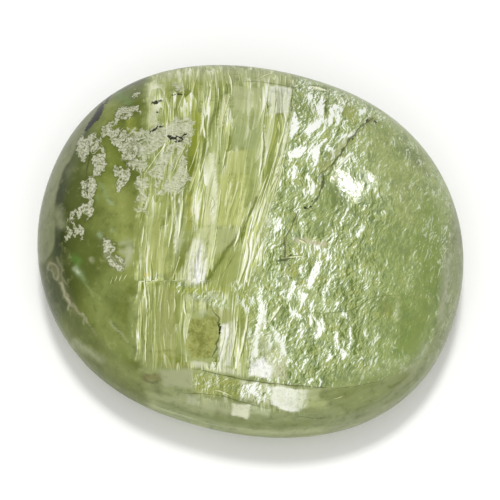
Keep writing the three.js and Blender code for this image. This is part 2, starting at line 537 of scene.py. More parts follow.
# Silk, flat panes: colour, how much they calm the grain, strength, softness, corners
SILK_PANES = (
    ("B9BF8C", 0.75, 0.9, 3.0, (232, 86), (262, 88), (261, 112), (232, 112)),
    ("AAB37C", 0.85, 0.8, 5, (232, 110), (261, 110), (260, 128), (232, 128)),
    ("9FAB74", 0.85, 0.8, 5, (232, 126), (260, 126), (258, 150), (231, 148)),
    ("CFD39C", 0.6, 0.9, 1.5, (221, 94), (231, 94), (228, 112), (221, 128), (217, 127)),
    ("D4D7A6", 0.5, 0.8, 3.0, (147, 84), (156, 82), (155, 126), (148, 127)),
    ("F1F3E4", 0.5, 0.85, 1.6, (269, 85), (292, 88), (289, 112), (267, 116)),
    ("BCC27C", 0.8, 0.8, 3, (226, 151), (246, 151), (246, 174), (225, 174)),
    ("CACE9C", 0.5, 0.9, 3, (208, 153), (215, 153), (218, 190), (217, 226), (203, 226)),
    ("BDC37A", 0.75, 0.9, 3, (220, 174), (248, 174), (242, 227), (217, 225)),
    ("ABB27A", 0.75, 0.9, 2.5, (217, 227), (236, 229), (232, 246), (215, 254)),
    ("9CA55E", 0.8, 0.9, 4, (216, 254), (240, 250), (236, 286), (208, 286)),
    ("CDD1A0", 0.5, 0.8, 2, (198, 228), (216, 226), (211, 250), (205, 281), (174, 281), (186, 256)),
    ("F3F4E8", 0.5, 0.8, 6, (193, 240), (201, 240), (207, 260), (204, 281), (186, 281), (190, 260)),
    ("FDFDF8", 0.7, 0.9, 4, (197, 258), (206, 262), (204, 282), (192, 282)),
    ("EAECD8", 0.5, 0.9, 5, (222, 324), (235, 322), (235, 340), (231, 366), (217, 368)),
    ("FFFFF8", 0.5, 0.7, 5, (222, 325), (230, 325), (229, 341), (221, 354)),
    ("D8DABB", 0.5, 0.8, 2, (192, 361), (214, 364), (240, 372), (238, 377), (212, 371), (192, 367)),
    ("A2A968", 0.75, 0.9, 8, (153, 290), (182, 290), (182, 356), (153, 356)),
    ("C3CA9C", 0.3, 0.9, 2, (253, 334), (276, 331), (287, 352), (287, 380), (250, 377)),
    ("A9B082", 0.8, 0.85, 4, (258, 339), (268, 339), (274, 352), (262, 358)),
    ("C6C6A0", 0.6, 0.8, 3, (274, 364), (287, 360), (286, 380), (272, 378)),
    ("FFFFF8", 0.75, 1.0, 2.4, (253, 362), (263, 357), (272, 367), (271, 378), (250, 376)),
)
for hex_colour, calming, strength, soft, *corners in SILK_PANES:
    glaze(hex_colour, strength * pane(soft, *corners), calming)

# Silk, folded sheets, brightest at a crisp edge, partly painted light: colour, strength, half width, path
SHEETS = (
    ("F0F2DA", 0.95, 4.6, (176, 254), (178, 237), (180, 212), (183, 188)),
    ("EBEDD2", 0.95, 4.2, (209, 152), (212, 175), (213, 200), (213, 224)),
    ("F4F5E6", 0.8, 1.6, (212, 196), (212, 206), (210, 216)),
    ("DDE1A8", 0.8, 3.2, (215, 226), (212, 250), (206, 277)),
    ("FFFFFF", 0.98, 4.6, (199, 283), (200, 266), (203, 246)),
    ("FBFBEE", 0.9, 2.2, (191, 282), (193, 262), (197, 246)),
    ("F4F5DE", 0.9, 1.6, (184, 281), (187, 264), (192, 250)),
    ("D3D896", 0.8, 2.4, (193, 222), (193, 206), (194, 190)),
    ("E9ECC0", 0.9, 2.4, (230, 92), (226, 108), (222, 126)),
    ("D6DB92", 0.8, 2.6, (200, 84), (200, 96), (200, 108)),
    ("E0E4AC", 0.8, 1.7, (205, 139), (203, 124), (203, 112)),
    ("CDD284", 0.8, 3.4, (190, 193), (197, 174), (204, 155)),
    ("D7DC9A", 0.8, 1.9, (199, 209), (201, 182)),
    ("D9DDA2", 0.7, 2.2, (232, 174), (229, 200), (226, 224)),
    ("D3D88C", 0.7, 2.0, (244, 174), (241, 200), (236, 226)),
    ("EEF0DA", 0.95, 2.2, (263, 124), (262, 150), (259, 178)),
    ("C9D08E", 0.7, 3.0, (268, 100), (267, 128)),
    ("D6DAA2", 0.85, 3.6, (247, 230), (254, 207), (263, 182)),
    ("C6CD92", 0.7, 3.4, (262, 230), (268, 206), (276, 182)),
    ("EDEFCE", 0.95, 2.4, (247, 236), (247, 254), (243, 268), (238, 285)),
    ("CBD094", 0.7, 2.5, (256, 232), (254, 250), (250, 268)),
    ("E2E6C0", 0.9, 2.4, (146, 275), (145, 292), (147, 313)),
    ("CCD19E", 0.8, 2.2, (147, 314), (145, 340), (144, 363)),
    ("DBDFAE", 0.8, 2.2, (186, 298), (187, 316), (186, 340)),
    ("FDFDF4", 0.9, 2.4, (218, 364), (223, 342), (225, 322)),
    ("E0E4B8", 0.8, 1.8, (238, 322), (236, 342), (231, 364)),
    ("E8EBC8", 0.9, 2.2, (248, 314), (244, 338), (237, 367)),
    ("CED3A2", 0.6, 2.6, (158, 184), (151, 204), (147, 226)),
    ("C6CC90", 0.6, 2.0, (167, 204), (166, 238)),
    ("C9CE96", 0.6, 2.4, (146, 226), (144, 262)),
    ("D3D7AC", 0.7, 2.4, (184, 232), (178, 252), (172, 270)),
    ("C8CE82", 0.7, 2.0, (187, 84), (183, 96), (178, 112)),
    ("CDD38E", 0.7, 2.0, (212, 86), (211, 98), (209, 112)),
    ("D9DDA6", 0.8, 1.8, (214, 68), (215, 78), (216, 90)),
    ("DDE1AC", 0.9, 2.0, (227, 70), (231, 80), (233, 92)),
    ("D3D8A0", 0.7, 1.6, (238, 70), (239, 80)),
    ("CBD09A", 0.6, 2.4, (180, 72), (179, 82)),
    ("E2E5C8", 0.8, 2.0, (276, 76), (262, 78), (250, 84)),
    ("DCE0B4", 0.7, 1.4, (164, 76), (163, 96), (161, 116)),
    ("F0F2DC", 0.9, 3.2, (262, 302), (262, 316), (257, 334)),
    ("F4F6E6", 0.9, 2.6, (256, 336), (262, 326), (270, 321)),
    ("F8F9EC", 0.95, 2.4, (252, 364), (253, 346), (255, 332)),
    ("F8F9EC", 0.95, 2.6, (271, 326), (280, 341), (287, 356)),
    ("FFFFFA", 0.95, 2.2, (250, 378), (252, 362), (254, 348)),
    ("EDEAD8", 0.9, 1.6, (276, 379), (274, 366), (266, 354)),
    ("E6E0CC", 0.8, 1.6, (268, 366), (276, 360), (285, 358)),
    ("DCC66A", 0.9, 1.2, (271, 351), (275, 353), (280, 358)),
    ("E8EBC4", 0.8, 1.4, (200, 313), (202, 301), (210, 293), (221, 291)),
    ("DDE2B4", 0.8, 1.2, (210, 311), (213, 304), (221, 299)),
)
glaze_each(sheet, SHEETS, calming=0.35)

# Silk, the shaded hollows between its sheets: colour, strength, half width, softness, path
SHADES = (
    ("7F8A38", 0.9, 1.6, 1.8, (181, 92), (176, 106), (172, 122)),
    ("68732C", 0.9, 1.6, 1.8, (225, 92), (218, 106), (211, 124), (206, 142), (200, 162)),
    ("8C9634", 0.8, 2.2, 2.0, (196, 112), (194, 132), (193, 154)),
    ("626C28", 0.9, 1.6, 1.8, (181, 182), (175, 198), (168, 214), (163, 228)),
    ("9A9B3A", 0.9, 1.6, 1.4, (189, 194), (189, 230)),
    ("9A9F40", 0.8, 1.2, 1.4, (202, 186), (199, 224)),
    ("616C2C", 0.95, 1.6, 1.5, (257, 198), (246, 221), (235, 239), (220, 260), (206, 284)),
    ("7D772A", 0.95, 0.5, 1.1, (203, 200), (198, 225), (192, 239), (184, 256), (176, 268), (169, 280)),
    ("7E883E", 0.85, 0.8, 1.4, (187, 242), (180, 256), (171, 273)),
    ("7E893E", 0.9, 1.4, 1.6, (243, 302), (242, 322), (241, 346)),
    ("8A9446", 0.8, 0.8, 1.2, (252, 180), (249, 200), (243, 218)),
    ("7F8A3C", 0.8, 0.7, 1.2, (209, 226), (207, 244), (206, 258)),
    ("87913F", 0.8, 1.0, 1.2, (231, 324), (228, 344), (223, 364)),
    ("818B42", 0.7, 0.9, 1.2, (152, 286), (153, 320), (152, 356)),
    ("8A9448", 0.7, 0.9, 1.4, (162, 190), (156, 206), (153, 226)),
    ("7F8848", 0.8, 0.7, 1.4, (150, 352), (170, 351), (190, 359)),
    ("7C8640", 0.7, 0.8, 1.2, (189, 84), (188, 98), (186, 112)),
    ("8A9440", 0.8, 1.0, 1.4, (222, 70), (222, 82), (220, 92)),
    ("7F8948", 0.7, 0.8, 1.2, (286, 96), (281, 124), (274, 150)),
    ("B0B680", 0.8, 0.3, 0.9, (197, 246), (193, 262), (190, 280)),
    ("BCC090", 0.8, 0.3, 0.9, (202, 250), (200, 266), (198, 280)),
    ("9DA65A", 0.8, 1.2, 1.8, (236, 176), (233, 200), (229, 224)),
    ("7C8540", 0.8, 0.7, 1.2, (212, 72), (212, 80), (211, 88)),
    ("7C8540", 0.8, 0.8, 1.2, (196, 74), (196, 82)),
    ("8A934A", 0.8, 1.0, 1.6, (176, 300), (177, 330), (177, 352)),
    ("7F8843", 0.8, 0.8, 1.4, (140, 230), (139, 250), (139, 270)),
)
glaze_each(blot, SHADES, calming=0.8)

# Foil, tints: colour, strength, half width, softness, path
FOIL_GLAZES = (
    ("82954E", 0.85, 13, 14, (428, 215), (430, 285), (412, 350)),
    ("8A9E58", 0.55, 14, 18, (390, 240), (396, 285), (386, 350)),
    ("A3AE70", 0.7, 14, 14, (370, 135), (395, 180), (408, 215)),
    ("8B9A50", 0.8, 5, 4, (304, 105), (311, 116)),
    ("A1A855", 0.9, 6, 4, (349, 109), (353, 118)),
    ("8D9B52", 0.7, 4, 4, (376, 122), (392, 134)),
    ("B2B684", 0.85, 4, 3, (346, 141), (335, 153)),
    ("9C9F62", 0.85, 3.5, 3, (333, 157), (323, 168)),
    ("A0A044", 0.8, 1.2, 1.2, (287, 162), (300, 165)),
    ("8A9A58", 0.6, 10, 10, (326, 192), (318, 222)),
    ("9AA048", 0.8, 3, 4, (388, 307), (389, 314)),
    ("C4BC9E", 0.9, 2.4, 1.4, (295, 239), (310, 242), (324, 244)),
    ("A9A98A", 0.5, 2.4, 2.4, (285, 242), (286, 270), (284, 298)),
    ("9FA044", 0.8, 2, 1.5, (294, 265), (295, 277)),
    ("A3A44E", 0.8, 2.4, 2, (303, 281), (301, 288)),
    ("A6A84C", 0.7, 3, 3, (296, 247), (299, 253)),
    ("7E8040", 0.75, 1.0, 1.8, (372, 119), (362, 128), (352, 140), (341, 156)),
    ("83864A", 0.65, 0.9, 1.8, (338, 158), (322, 176), (319, 194), (310, 208)),
    ("83864A", 0.6, 0.8, 1.8, (299, 211), (290, 230), (284, 244)),
    ("7A7E40", 0.7, 2.2, 2.4, (369, 120), (377, 122)),
    ("6F8544", 0.7, 1.4, 2.4, (438, 266), (436, 296), (434, 328)),
    ("7D924A", 0.6, 4, 5, (418, 238), (422, 262)),
    ("C0C794", 0.7, 2.2, 3, (399, 298), (397, 318)),
    ("9FAA6A", 0.6, 4, 4, (386, 300), (386, 318)),
    ("B0B694", 0.6, 1.2, 1.4, (393, 120), (402, 127)),
    ("7C8B4B", 0.75, 3, 5, (332, 381), (364, 381), (396, 374), (414, 361), (430, 345)),
    ("7E9448", 0.6, 5, 6, (404, 300), (408, 330), (398, 352)),
    ("7A8C4A", 0.75, 0.7, 1.5, (284, 312), (322, 314), (352, 311), (374, 303), (410, 298)),
)
glaze_each(blot, FOIL_GLAZES, calming=0.7)

# Skirt, tints: colour, strength, half width, softness, path
glaze("919B67", below_skirt)
SKIRT_GLAZES = (
    ("A3AA6C", 0.9, 9, 8, (196, 382), (234, 388)),
    (STRAW, 0.5, 5, 5, (262, 391), (300, 402), (322, 404)),
    ("869158", 0.9, 10, 10, (345, 402), (380, 396), (412, 376)),
    ("A2A978", 0.9, 6, 5, (150, 392), (210, 408), (232, 410)),
    ("808B4C", 0.8, 2.4, 4, (215, 417), (260, 425), (310, 424)),
    ("B4BB88", 0.6, 2, 4, (225, 425), (270, 432), (320, 430)),
)
glaze_each(blot, SKIRT_GLAZES, within=below_skirt)

# Skirt, flat panes, some of them clear windows made pale by painted light from the floor below:
# colour, strength, softness, corners
SKIRT_PANES = (
    ("A9AD84", 0.9, 5.0, (158, 370), (193, 369), (194, 388), (164, 386)),
    ("A6AC62", 0.9, 4.0, (193, 372), (242, 380), (240, 398), (195, 394)),
    ("C9CCA6", 0.9, 4.0, (240, 380), (270, 385), (271, 404), (240, 400)),
    ("FCFDF2", 0.98, 1.2, (272, 386), (290, 388), (309, 391), (303, 402), (298, 412), (284, 410), (271, 405)),
    ("DDE1C0", 0.6, 5.0, (296, 390), (312, 392), (306, 406), (294, 412)),
    ("E6E8C8", 0.95, 1.6, (232, 403), (252, 405), (249, 414), (247, 419), (231, 415)),
    ("BBC49A", 0.8, 4.0, (251, 405), (271, 409), (269, 416), (251, 413)),
    ("B4B98C", 0.7, 5.0, (200, 397), (232, 401), (230, 414), (203, 408)),
    ("B9BF9A", 0.7, 4.0, (186, 394), (200, 396), (199, 405), (188, 404)),
    ("B9C08E", 0.7, 4.0, (302, 390), (322, 388), (318, 402), (311, 402)),
)
glaze_each(pane, SKIRT_PANES, calming=0.7)

# Rims, partly painted reflections of the white surroundings: colour, strength, half width, softness, path
# Pale grey-green along the right rim, partly a painted reflection of the white surroundings
glaze("90986C", 0.85 * in_rim)
RIM_GLAZES = (
    ("7A6E40", 0.7, 3, 4, (145, 378), (158, 377)),
    ("554D2A", 0.8, 0.9, 1.8, (144, 380), (151, 383), (158, 381)),
    ("5E5730", 0.7, 0.8, 1.6, (146, 375), (155, 374)),
    ("6E7A3C", 0.6, 1.6, 3, (136, 386), (156, 392), (172, 394)),
    ("AFB497", 0.6, 2.4, 3, (447, 262), (446, 286), (441, 318)),
    ("C3C6B0", 0.45, 0.6, 1.4, (449, 252), (449, 272), (446, 296)),
    ("A9B08C", 0.55, 4, 4, (425, 348), (418, 361), (410, 370)),
    ("BDC2A4", 0.5, 0.8, 1.6, (428, 342), (423, 352), (417, 358)),
    ("7C8852", 0.6, 1.0, 2, (443, 330), (434, 350), (424, 364)),
)
glaze_each(blot, RIM_GLAZES)
# The pale band on the left rim, partly a painted reflection of the white surroundings, darker towards its top
glaze("868C64", in_reflection_band)
glaze("6C7248", in_reflection_band * smooth((BAND_PALE - down) / 60))
# Painted shade: a dark outline where the surface turns away from the lens
glaze("434C1E", 0.8 * painted_outline_shade)
glaze("939D60", 0.75 * hidden_flank)
glaze("A5AC70", 0.7 * above_rim_line * in_silk)

# Matt grey skin in ragged patches and rings: half width, path
SKIN = (
    (2.6, (84, 139), (82, 150), (83, 161)),
    (2.0, (88, 142), (86, 154)),
    (1.8, (93, 134), (97, 141), (94, 150), (90, 144), (92, 135)),
    (3.4, (94, 158), (99, 168), (95, 175)),
    (2.8, (99, 154), (103, 162), (100, 172)),
    (3.0, (91, 177), (92, 187), (90, 198)),
    (1.7, (83, 181), (84, 188), (83, 195)),
    (2.6, (93, 200), (89, 206), (91, 213)),
    (2.4, (86, 204), (82, 210), (78, 216)),
    (1.5, (75, 210), (72, 216), (69, 222)),
    (1.2, (103, 128), (103, 135), (100, 141)),
    (2.2, (110, 122), (109, 130), (114, 136), (118, 130)),
    (2.4, (114, 138), (115, 144)),
    (2.2, (116, 123), (119, 113), (127, 108)),
    (1.5, (128, 117), (133, 110), (139, 106)),
    (2.0, (121, 150), (120, 142), (125, 136), (131, 139)),
    (2.4, (124, 152), (129, 160)),
    (1.7, (121, 168), (124, 178), (118, 190)),
    (1.7, (128, 170), (126, 180), (121, 186)),
    (1.6, (114, 170), (118, 175)),
    (3.0, (104, 240), (108, 245), (106, 252)),
    (1.3, (111, 241), (114, 247), (110, 254)),
    (1.8, (109, 257), (112, 263), (121, 269)),
    (1.0, (116, 256), (124, 264)),
    (1.5, (132, 97), (138, 92)),
    (1.2, (68, 227), (70, 233), (66, 239)),
    (1.0, (73, 224), (77, 229), (75, 236)),
    (0.9, (79, 226), (83, 231), (82, 238)),
    (1.6, (77, 213), (84, 209), (90, 215), (86, 221)),
    (1.3, (120, 109), (127, 111), (133, 107), (139, 112)),
    (1.1, (117, 117), (124, 118), (131, 114)),
    (1.7, (127, 140), (123, 148), (127, 157), (135, 155), (134, 144)),
    (1.3, (117, 167), (121, 176), (118, 185)),
    (1.5, (83, 136), (80, 145), (79, 156)),
    (1.3, (88, 180), (86, 188), (85, 198)),
    (1.2, (97, 146), (103, 150), (104, 158)),
)
# A thin veil of the same skin over the start of the silk: strength, corners
VEIL = (
    (1.0, (138, 130), (166, 120), (190, 113), (198, 130), (190, 147), (148, 152)),
    (1.0, (146, 140), (186, 138), (192, 180), (180, 196), (155, 195), (150, 172)),
    (0.86, (116, 126), (154, 126), (156, 182), (122, 168)),
    (0.8, (148, 106), (162, 106), (162, 128), (148, 128)),
    (0.9, (172, 81), (185, 81), (185, 95), (172, 95)),
    (0.84, (134, 168), (152, 168), (149, 216), (134, 212)),
)
# Gaps in it, where the silk shows through: half width, softness, path
BARE = (
    (1.7, 1.4, (170, 141), (156, 158), (143, 176)),
    (1.4, 1.4, (162, 147), (148, 164)),
    (1.4, 1.4, (186, 146), (178, 160), (170, 180)),
    (1.4, 1.4, (176, 150), (168, 168), (160, 190)),
    (1.2, 1.2, (168, 100), (165, 126)),
)
# Clear panes, whose back face shines white, a painted reflection: half width, path
CLEAR_PANE_SHINE = (
    (3.4, (294, 117), (297, 123), (293, 130), (292, 138)),
    (1.6, (308, 97), (312, 98)),
    (3.0, (322, 96), (321, 108), (319, 120)),
    (4.4, (322, 118), (314, 127), (306, 132)),
    (2.6, (330, 106), (332, 116), (330, 126)),
    (1.6, (331, 106), (338, 108), (343, 112)),
    (2.0, (338, 112), (338, 120), (335, 126)),
    (2.2, (355, 130), (352, 134), (348, 137)),
    (1.8, (347, 133), (341, 138), (337, 143)),
    (2.0, (360, 111), (364, 113)),
    (5.0, (290, 155), (297, 152), (304, 149)),
    (2.8, (295, 166), (294, 178)),
    (2.4, (316, 147), (313, 158)),
    (2.6, (329, 146), (327, 152)),
    (1.6, (322, 143), (318, 150), (316, 166)),
    (1.8, (352, 153), (344, 160), (337, 168)),
    (1.6, (357, 131), (350, 136)),
    (1.8, (306, 176), (309, 180)),
    (2.2, (316, 184), (313, 190), (311, 196)),
    (1.4, (303, 188), (305, 192)),
    (2.4, (371, 175), (372, 182)),
    (1.2, (344, 171), (341, 178)),
    (2.4, (281, 216), (279, 224), (277, 231)),
    (1.6, (266, 217), (268, 225)),
    (1.4, (314, 213), (313, 220)),
    (1.2, (350, 214), (347, 224)),
    (2.0, (364, 225), (360, 232), (356, 234)),
    (1.3, (315, 250), (317, 246), (320, 251)),
    (3.4, (317, 262), (316, 270), (312, 278), (309, 289)),
    (1.8, (302, 264), (301, 274)),
    (2.6, (295, 281), (292, 290), (289, 300)),
    (2.8, (304, 294), (301, 302)),
    (1.6, (279, 306), (275, 313), (270, 320)),
    (3.0, (262, 304), (262, 314), (258, 330)),
    (2.2, (256, 360), (256, 345), (257, 330)),
    (2.4, (271, 326), (279, 340), (286, 356)),
    (1.6, (266, 352), (270, 344), (269, 334)),
    (1.6, (289, 311), (296, 314), (304, 319)),
    (2.4, (303, 322), (301, 338)),
    (4.2, (319, 319), (319, 328), (316, 338)),
    (2.8, (342, 312), (345, 318)),
    (1.8, (349, 329), (351, 340), (348, 350)),
    (2.6, (342, 350), (344, 359)),
    (1.8, (336, 331), (336, 342), (341, 352)),
    (1.8, (337, 300), (336, 306)),
    (1.6, (330, 352), (327, 362)),
    (1.6, (284, 332), (282, 346)),
)
# Bright silk threads that stand out singly: half width, path
THREADS = (
    (0.5, (215, 68), (216, 80), (217, 92)),
    (0.7, (228, 72), (231, 82), (232, 94)),
    (0.4, (238, 70), (239, 76), (240, 82)),
    (0.5, (185, 90), (181, 101), (177, 110)),
    (0.4, (191, 78), (192, 94), (191, 110)),
    (0.5, (199, 88), (199, 98), (198, 106)),
    (0.5, (203, 90), (204, 104), (206, 114)),
    (0.6, (211, 88), (210, 98), (209, 106)),
    (0.5, (230, 96), (225, 110), (221, 126)),
    (0.4, (220, 92), (220, 106), (218, 124)),
    (0.4, (165, 84), (164, 100), (162, 118)),
    (0.4, (171, 98), (169, 110), (167, 122)),
    (0.9, (203, 113), (203, 124), (205, 139)),
    (0.5, (231, 121), (229, 128), (230, 136)),
    (0.5, (222, 127), (221, 138), (220, 150)),
    (0.9, (226, 151), (224, 159), (222, 168)),
    (0.5, (170, 141), (156, 157), (144, 175)),
    (0.5, (187, 142), (180, 156), (172, 174)),
    (0.5, (200, 139), (196, 152), (188, 174)),
    (0.5, (206, 154), (201, 172), (195, 190)),
    (0.4, (200, 162), (195, 176), (190, 190)),
    (1.0, (262, 126), (262, 148), (259, 178)),
    (0.5, (266, 96), (264, 112), (262, 132)),
    (0.4, (276, 88), (275, 102), (273, 116)),
    (0.4, (281, 88), (280, 104), (277, 120)),
    (0.6, (292, 90), (287, 118), (279, 148), (272, 174)),
    (0.5, (290, 100), (284, 128), (276, 156), (268, 182)),
    (0.5, (294, 104), (288, 132), (281, 160), (273, 188)),
    (0.6, (289, 124), (282, 152), (274, 178), (265, 206)),
    (0.5, (286, 150), (281, 172), (275, 196)),
    (0.6, (274, 164), (266, 188), (258, 212), (252, 232)),
    (0.4, (279, 158), (272, 182), (264, 206), (258, 230)),
    (0.5, (283, 160), (276, 184), (269, 208), (264, 228)),
    (0.6, (268, 174), (260, 194), (252, 214)),
    (1.1, (183, 190), (181, 212), (178, 238)),
    (0.5, (194, 192), (193, 208), (193, 224)),
    (0.5, (209, 196), (214, 203), (210, 210), (213, 216)),
    (0.5, (221, 188), (219, 204), (217, 222)),
    (0.5, (217, 224), (215, 240), (210, 262), (207, 277)),
    (0.4, (228, 178), (227, 196), (225, 218)),
    (0.4, (243, 178), (241, 196), (238, 216)),
    (0.4, (196, 238), (194, 256), (192, 280)),
    (0.5, (203, 248), (202, 264), (201, 281)),
    (0.4, (190, 252), (186, 266), (183, 280)),
    (0.4, (180, 256), (176, 268), (173, 278)),
    (0.9, (240, 226), (238, 236), (234, 247)),
    (1.1, (247, 240), (247, 254), (244, 266), (238, 285)),
    (0.4, (252, 234), (252, 248), (250, 264)),
    (0.4, (256, 230), (255, 246), (253, 260)),
    (0.4, (260, 226), (259, 242), (256, 258)),
    (0.6, (144, 224), (143, 234), (141, 246)),
    (0.4, (147, 230), (146, 244), (144, 258)),
    (0.4, (158, 188), (151, 202), (148, 218)),
    (0.5, (167, 206), (166, 220), (166, 238)),
    (0.4, (160, 226), (160, 238), (159, 250)),
    (0.4, (172, 214), (172, 226), (171, 238)),
    (0.8, (144, 277), (145, 292), (147, 310)),
    (0.5, (148, 281), (149, 296), (150, 312)),
    (0.6, (147, 312), (146, 332), (145, 362)),
    (0.4, (141, 300), (141, 326), (140, 352)),
    (0.5, (168, 300), (169, 310), (169, 320)),
    (0.5, (174, 297), (175, 304), (174, 312)),
    (0.4, (154, 332), (155, 340), (155, 347)),
    (0.4, (164, 330), (164, 340), (165, 350)),
    (0.8, (184, 299), (184, 308), (186, 316)),
    (0.5, (191, 314), (188, 328), (185, 344)),
    (0.6, (225, 322), (223, 340), (218, 360)),
    (0.7, (237, 322), (234, 342), (230, 362)),
    (1.0, (248, 314), (245, 332), (238, 364)),
    (0.4, (243, 342), (241, 354), (239, 368)),
    (0.5, (252, 342), (249, 358), (247, 374)),
    (0.9, (282, 304), (276, 312), (270, 322)),
    (0.4, (112, 278), (111, 281), (110, 284)),
    (0.4, (117, 276), (116, 279), (114, 282)),
    (0.4, (122, 275), (120, 278), (119, 282)),
    (0.4, (127, 274), (125, 277), (123, 281)),
    (1.0, (311, 86), (318, 88), (327, 91)),
    (0.4, (274, 73), (266, 75), (256, 80)),
    (0.6, (286, 258), (294, 257), (303, 256)),
    (0.6, (297, 239), (303, 242), (307, 244)),
    (0.6, (351, 154), (343, 161), (335, 170)),
    (0.5, (334, 399), (338, 398), (343, 396)),
    (0.5, (195, 374), (197, 380), (196, 388)),
    (0.5, (203, 376), (206, 384), (205, 392)),
    (0.5, (215, 390), (222, 392), (232, 396)),
)
# Black mineral in short breaks across the silk, and on the left rim: half width, path
BLACK = (
    (1.5, (150, 103), (156, 102), (162, 101)),
    (0.8, (154, 112), (161, 111)),
    (0.9, (171, 95), (178, 95), (185, 94)),
    (1.2, (149, 133), (153, 130), (158, 130)),
    (1.2, (155, 129), (159, 127), (165, 127)),
    (2.0, (168, 135), (170, 138), (175, 138)),
    (1.3, (174, 135), (180, 137), (187, 134)),
    (1.3, (172, 140), (179, 141), (185, 137)),
    (1.4, (116, 88), (109, 98), (101, 109)),
    (3.2, (104, 104), (95, 118), (85, 131)),
    (1.1, (303, 207), (308, 209), (313, 208)),
    (0.9, (313, 199), (311, 203), (312, 208)),
    (0.8, (290, 253), (291, 257)),
    (1.0, (288, 262), (288, 266)),
    (0.8, (284, 291), (284, 296)),
    (1.0, (355, 134), (351, 140)),
    (1.1, (371, 118), (366, 122)),
    (0.9, (374, 121), (377, 124)),
    (0.7, (322, 178), (323, 184)),
    (1.4, (219, 323), (220.5, 329), (219.5, 336)),
)
# Thin olive-brown fissures, and painted images of the base's edge seen through the stone: half width, path
FISSURES = (
    (0.9, (374, 118), (368, 122), (361, 126), (357, 132)),
    (1.3, (359, 128), (355, 134), (352, 137), (349, 139), (346, 147)),
    (1.1, (347, 146), (343, 149), (341, 154), (337, 158)),
    (0.8, (338, 157), (333, 164), (327, 168), (324, 173)),
    (0.7, (325, 170), (320, 174), (318, 180)),
    (1.1, (324, 176), (323, 184), (320, 190)),
    (1.0, (321, 188), (318, 198), (315, 201), (311, 209)),
    (1.0, (299, 210), (294, 220), (290, 230)),
    (0.9, (289, 231), (286, 236), (284, 243)),
    (0.8, (326, 93), (326, 107), (325, 120)),
    (0.6, (292, 76), (292, 93), (291, 120)),
    (0.5, (276, 86), (276, 96), (275, 112)),
    (1.0, (283, 238), (285, 248), (285, 262)),
    (1.0, (276, 262), (286, 259), (294, 258)),
    # this row and the next: the level line over the skirt, a painted image of the base's edge seen through
    # the stone
    (0.7, (190, 368), (214, 373), (236, 378), (253, 381), (288, 385), (333, 388)),
    (0.4, (320, 388), (350, 387), (385, 380)),
    (0.5, (182, 393), (216, 395), (239, 401), (253, 405), (270, 409)),
    (0.5, (296, 416), (312, 418), (329, 418)),
    # the line under the top rim: a painted image of the base's edge seen through the stone
    (0.4, (236, 81), (262, 82), (280, 85), (311, 90), (337, 93)),
    (0.4, (300, 312), (325, 313), (351, 310), (363, 303), (375, 297), (402, 295)),
    (0.4, (218, 152), (220, 158), (218, 165)),
    (0.4, (236, 252), (228, 266), (218, 281)),
    (1.0, (118, 92), (134, 84), (150, 77)),
    (0.8, (211, 306), (214, 312), (219, 318), (218, 325), (221, 330)),
    (0.9, (220, 330), (219, 337), (216, 344), (217, 348), (212, 357)),
    (0.8, (88, 139), (90, 150), (88, 164), (86, 178)),
    (0.7, (88, 178), (87, 188), (88, 199)),
    (0.8, (122, 160), (129, 167), (134, 172)),
)

# An olive, mossy lump in the silk: softness, corners
LUMP = (2.5, (191, 319), (216, 317), (220, 324), (218, 340), (211, 357), (192, 359), (185, 346), (188, 332))

# The marks lie in the crown and the front of the flank, and end a little past the outline that the lens sees
THREAD_LAYERS = 4  # neighbouring threads are kept in different layers
upper = smooth(points[:, 2] / 0.8) * smooth(facing / 0.14 + 1)
threads = [nearest(THREADS[layer::THREAD_LAYERS], waver=0.3) for layer in range(THREAD_LAYERS)]
black_depth = nearest(BLACK, waver=1.0)[2]
crack_side, crack_gap, _, crack_width = nearest(FISSURES, waver=0.4)
skin_depth = nearest(SKIN)[2]
clear_shine_depth = nearest(CLEAR_PANE_SHINE, waver=1.0)[2]
# The clear panes' painted white reflection
glaze("FFFFFA", 0.5 * smooth(clear_shine_depth / 1.6))
olive_lump = pane(*LUMP)
glaze("989D55", olive_lump * 0.95)
veil = np.max([strength * pane(16, *corners) for strength, *corners in VEIL], axis=0)
veil *= 1 - np.max([blot(*gap) for gap in BARE], axis=0)

# The grain: places across and along the silk, and across and along the crumples of the foil, in mm
SWEEP_LEFT, SWEEP_RIGHT = 14, 54  # pixels by which the silk's left and right lean from its top to its bottom
SWEEP_START, SWEEP_END = 145, 285  # pixels across, between which it goes from the one to the other
SWEEP_TOP, SWEEP_BOTTOM = 84, 350  # pixels down, between which it leans
FAULT = 0.4  # mm by which the silk is shifted below the level crack on its left
FAULT_DOWN, FAULT_END = 281, 215  # pixels down to that crack, and across to its right end
CRUMPLE_LEAN = np.radians(72)
plan_x = (across - PICTURE / 2) / SCALE
plan_y = (PICTURE / 2 - down) / SCALE
sweep_share = smooth((across - SWEEP_START) / (SWEEP_END - SWEEP_START))
sweep = SWEEP_LEFT + (SWEEP_RIGHT - SWEEP_LEFT) * sweep_share
silk_across = (across + sweep * smooth((down - SWEEP_TOP) / (SWEEP_BOTTOM - SWEEP_TOP))) / SCALE
silk_across += FAULT * (down > FAULT_DOWN) * (across < FAULT_END)
silk_across += 0.03 * np.sin(plan_y * 1.9 + plan_x * 1.3) + 0.012 * np.sin(plan_y * 5.3 - plan_x * 7.1)
crumple_along = plan_x * np.cos(CRUMPLE_LEAN) + plan_y * np.sin(CRUMPLE_LEAN)
crumple_across = plan_y * np.cos(CRUMPLE_LEAN) - plan_x * np.sin(CRUMPLE_LEAN)
crumple_across += (
    0.05 * np.sin(crumple_along * 2.3 + 1.0) + 0.015 * np.sin(crumple_along * 6.1 + crumple_across * 3.0)
)

